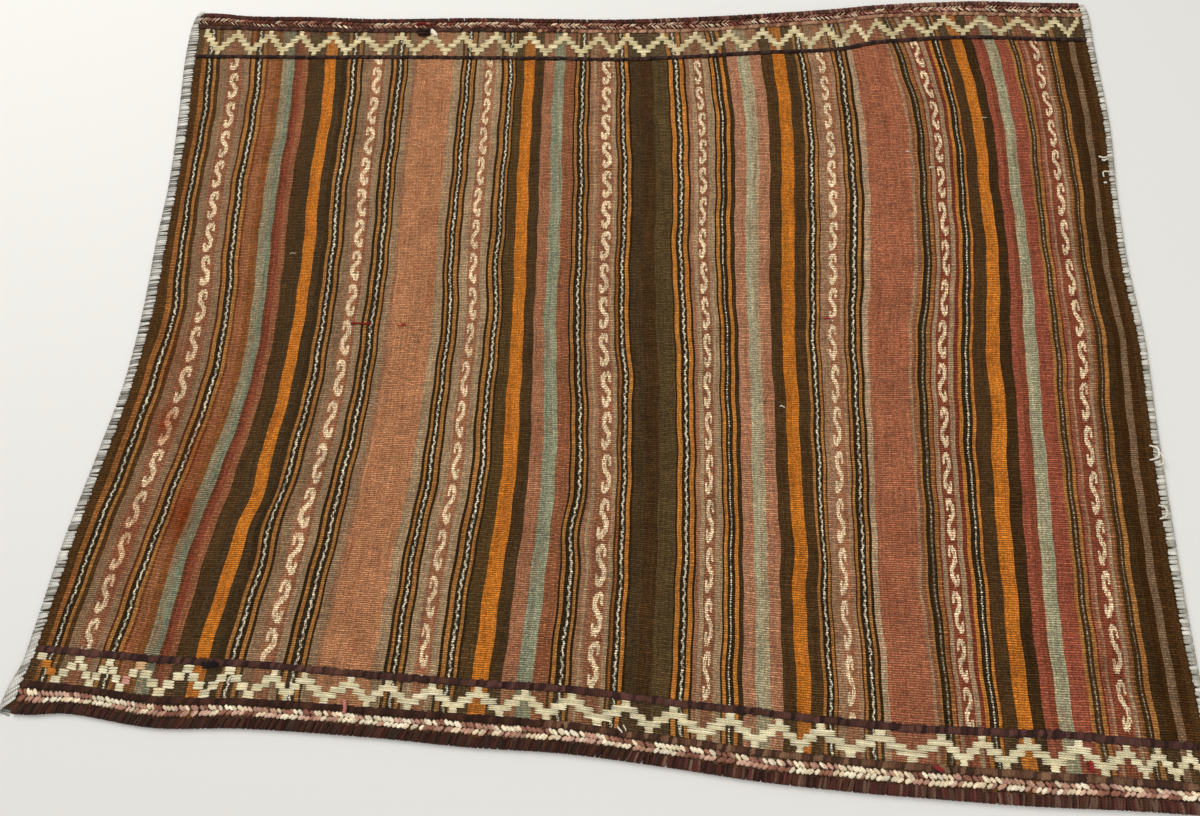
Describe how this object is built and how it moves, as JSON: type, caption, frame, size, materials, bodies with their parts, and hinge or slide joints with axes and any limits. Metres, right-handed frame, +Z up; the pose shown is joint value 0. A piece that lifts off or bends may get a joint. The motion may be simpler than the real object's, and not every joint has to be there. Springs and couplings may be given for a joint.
{
  "type": "soumak rug",
  "caption": "Handwoven wool rug laid flat, warp-faced in narrow stripes with figured bands, zigzag and braid wrapping at both ends, rolled wrapped ends and pale overcast selvedges",
  "frame": {"origin": "middle of the rug's outline box, on the floor that it lies on", "axes": "+X across the stripes along the rug's longer side, +Y along the stripes towards the far end, +Z up"},
  "size_m": [1.278, 1.0012, 0.0074],
  "materials": {
    "striped_wool": "warp-faced handspun wool in narrow stripes",
    "dark_wool": "dark aubergine-brown wrapping wool",
    "rose_cream_wool": "rose and cream wrapping wool in patches",
    "cream_wool": "undyed cream wrapping wool",
    "pale_wool": "pale overcasting wool"
  },
  "bodies": {
    "root": {"woven_panel": "striped_wool", "wrapped_end_near": "dark_wool", "braid_near": "rose_cream_wool", "twined_line_outer_near": "dark_wool", "twined_line_inner_near": "dark_wool", "zigzag_near": "cream_wool", "wrapped_end_far": "dark_wool", "braid_far": "rose_cream_wool", "twined_line_outer_far": "dark_wool", "twined_line_inner_far": "dark_wool", "zigzag_far": "cream_wool", "selvedge_overcast_left": "pale_wool", "selvedge_overcast_right": "pale_wool"}
  },
  "joints": []
}
